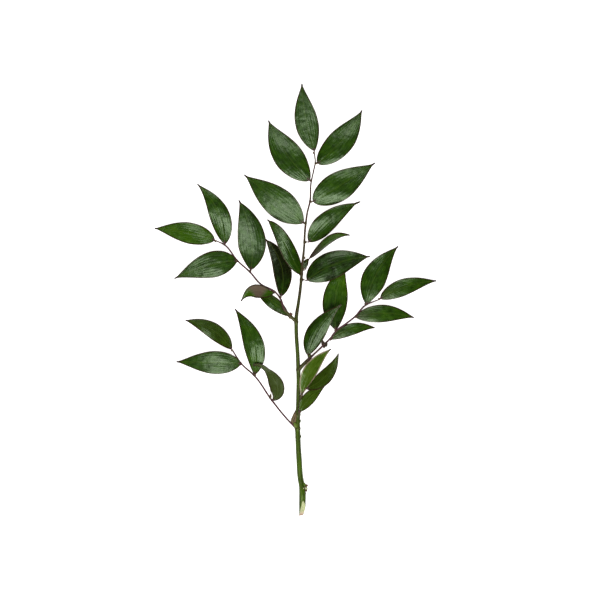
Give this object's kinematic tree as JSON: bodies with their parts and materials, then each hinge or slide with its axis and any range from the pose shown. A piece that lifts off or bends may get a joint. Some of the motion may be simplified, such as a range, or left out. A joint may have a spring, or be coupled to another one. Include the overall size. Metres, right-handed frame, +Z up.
{
  "type": "preserved ruscus spray",
  "caption": "Cut spray of preserved ruscus lying flat: a main leafy stem with leafy side shoots, glossy pointed leaves, a slanted pale cut end and a short side stump.",
  "frame": {"origin": "middle of the spray's outline seen from above, on the surface that it lies on", "axes": "+Y along the spray from the cut end to the top leaf, +X to the right seen from above, +Z up from the surface"},
  "size_m": [0.2967, 0.4531, 0.0265],
  "materials": {
    "glossy_green_leaf": "satin",
    "olive_green_leaf": "satin",
    "green_stem": "satin",
    "purple_brown_twig": "satin",
    "fresh_cut_wood": "matte",
    "papery_scale": "matte"
  },
  "bodies": {
    "root": {"main_leafy_stem": "glossy_green_leaf", "upper_left_leafy_shoot": "glossy_green_leaf", "lower_left_leafy_shoot": "glossy_green_leaf", "right_leafy_shoot": "glossy_green_leaf", "lower_right_leafy_shoot": "olive_green_leaf"}
  },
  "joints": []
}
